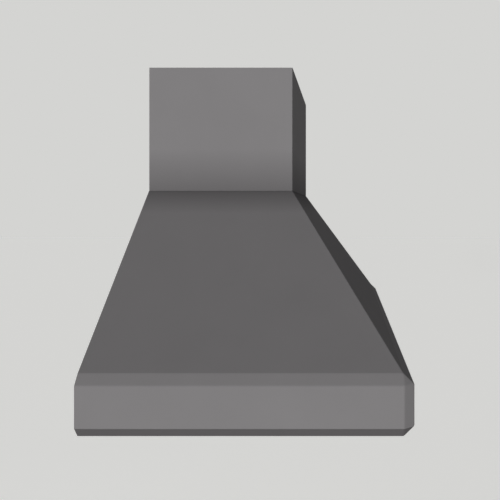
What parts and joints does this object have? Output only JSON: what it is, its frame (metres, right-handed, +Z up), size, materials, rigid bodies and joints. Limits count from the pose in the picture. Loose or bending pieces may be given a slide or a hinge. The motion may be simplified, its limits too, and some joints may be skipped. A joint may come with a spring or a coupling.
{
  "type": "wall-mounted range hood",
  "caption": "Wall-mounted range hood: pyramid canopy with a bevelled lip, telescopic square chimney, blower, hinged baffle filters, lamps and push buttons.",
  "frame": {"origin": "on the wall plane, in the middle of the four hanging holes of the back panel", "axes": "+X along the wall to the right seen from the room, +Y into the wall, +Z up"},
  "size_m": [1.2, 0.503, 0.625],
  "materials": {
    "powder_coated_steel": "matte grey powder coat on sheet steel",
    "filter_steel": "bright rolled stainless sheet",
    "polished_steel": "finely polished stainless steel",
    "galvanised_steel": "dull spangled zinc coat",
    "zinc_plated_steel": "bright zinc plate",
    "cast_aluminium": "as cast, lightly blasted",
    "black_plastic": "fine moulded texture",
    "white_plastic": "fine moulded texture",
    "circuit_board": "solder mask",
    "ferrite": "sintered, dark grey",
    "lead_sheath": "smooth flexible sheath",
    "frosted_lens": "frosted polycarbonate"
  },
  "bodies": {
    "hood": {"canopy_shell": "powder_coated_steel", "lower_duct_cover": "powder_coated_steel", "underside_pan": "powder_coated_steel", "switch_bezel": "black_plastic", "back_panel": "galvanised_steel", "blower_plate": "galvanised_steel", "gland_plate": "galvanised_steel", "volute_band": "galvanised_steel", "volute_left_side": "galvanised_steel", "volute_right_side": "galvanised_steel", "inlet_ring": "galvanised_steel", "filter_hinge_brackets": "galvanised_steel", "duct_collar": "black_plastic", "junction_box": "black_plastic", "junction_box_lid": "black_plastic", "cable_gland": "black_plastic", "switch_box": "black_plastic", "tact_switches": "black_plastic", "lamp_driver": "white_plastic", "terminal_block": "white_plastic", "switch_board": "circuit_board", "motor_can": "cast_aluminium", "motor_cradle": "cast_aluminium", "capacitor": "cast_aluminium", "damper_pin": "zinc_plated_steel", "capacitor_nut": "zinc_plated_steel", "assembly_screws": "zinc_plated_steel", "filter_magnets": "ferrite", "wiring_harness": "lead_sheath", "left_lamp_body": "cast_aluminium", "left_lamp_bezel": "polished_steel", "left_lamp_lens": "frosted_lens", "right_lamp_body": "cast_aluminium", "right_lamp_bezel": "polished_steel", "right_lamp_lens": "frosted_lens"},
    "upper_cover": {"upper_duct_cover": "powder_coated_steel", "duct_cover_bracket": "galvanised_steel", "bracket_screws": "zinc_plated_steel"},
    "fan_wheel": {"impeller": "black_plastic", "motor_shaft": "zinc_plated_steel"},
    "front_flap": {"front_damper_flap": "black_plastic"},
    "rear_flap": {"rear_damper_flap": "black_plastic"},
    "button_1": {"push_button_1": "polished_steel"},
    "button_2": {"push_button_2": "polished_steel"},
    "button_3": {"push_button_3": "polished_steel"},
    "button_4": {"push_button_4": "polished_steel"},
    "button_5": {"push_button_5": "polished_steel"},
    "filter_1": {"filter_1_frame": "filter_steel", "filter_1_baffles": "filter_steel", "filter_1_handle": "polished_steel", "filter_1_pins": "zinc_plated_steel"},
    "filter_2": {"filter_2_frame": "filter_steel", "filter_2_baffles": "filter_steel", "filter_2_handle": "polished_steel", "filter_2_pins": "zinc_plated_steel"},
    "filter_3": {"filter_3_frame": "filter_steel", "filter_3_baffles": "filter_steel", "filter_3_handle": "polished_steel", "filter_3_pins": "zinc_plated_steel"}
  },
  "joints": [
    {"name": "upper_cover_slide", "type": "slide", "parent": "hood", "child": "upper_cover", "axis": [0, 0, 1], "range_m": [0, 0.18]},
    {"name": "fan_spin", "type": "hinge", "parent": "hood", "child": "fan_wheel", "pos_m": [0, -0.1153, -0.0255], "axis": [1, 0, 0], "continuous": true},
    {"name": "front_flap_lift", "type": "hinge", "parent": "hood", "child": "front_flap", "pos_m": [0, -0.165, 0.0981], "axis": [-1, 0, 0], "range_deg": [0, 75]},
    {"name": "rear_flap_lift", "type": "hinge", "parent": "hood", "child": "rear_flap", "pos_m": [0, -0.165, 0.0981], "axis": [1, 0, 0], "range_deg": [0, 75]},
    {"name": "button_1_press", "type": "slide", "parent": "hood", "child": "button_1", "axis": [0, 1, 0], "range_m": [0, 0.002], "stiffness_N_per_m": 400, "springref_m": -0.002},
    {"name": "button_2_press", "type": "slide", "parent": "hood", "child": "button_2", "axis": [0, 1, 0], "range_m": [0, 0.002], "stiffness_N_per_m": 400, "springref_m": -0.002},
    {"name": "button_3_press", "type": "slide", "parent": "hood", "child": "button_3", "axis": [0, 1, 0], "range_m": [0, 0.002], "stiffness_N_per_m": 400, "springref_m": -0.002},
    {"name": "button_4_press", "type": "slide", "parent": "hood", "child": "button_4", "axis": [0, 1, 0], "range_m": [0, 0.002], "stiffness_N_per_m": 400, "springref_m": -0.002},
    {"name": "button_5_press", "type": "slide", "parent": "hood", "child": "button_5", "axis": [0, 1, 0], "range_m": [0, 0.002], "stiffness_N_per_m": 400, "springref_m": -0.002},
    {"name": "filter_1_swing", "type": "hinge", "parent": "hood", "child": "filter_1", "pos_m": [-0.35667, -0.037, -0.2735], "axis": [1, 0, 0], "range_deg": [0, 85]},
    {"name": "filter_2_swing", "type": "hinge", "parent": "hood", "child": "filter_2", "pos_m": [0, -0.037, -0.2735], "axis": [1, 0, 0], "range_deg": [0, 85]},
    {"name": "filter_3_swing", "type": "hinge", "parent": "hood", "child": "filter_3", "pos_m": [0.35667, -0.037, -0.2735], "axis": [1, 0, 0], "range_deg": [0, 85]}
  ],
  "couplings": [
    {"joint": "rear_flap_lift", "follows": "front_flap_lift", "ratio": 1}
  ]
}
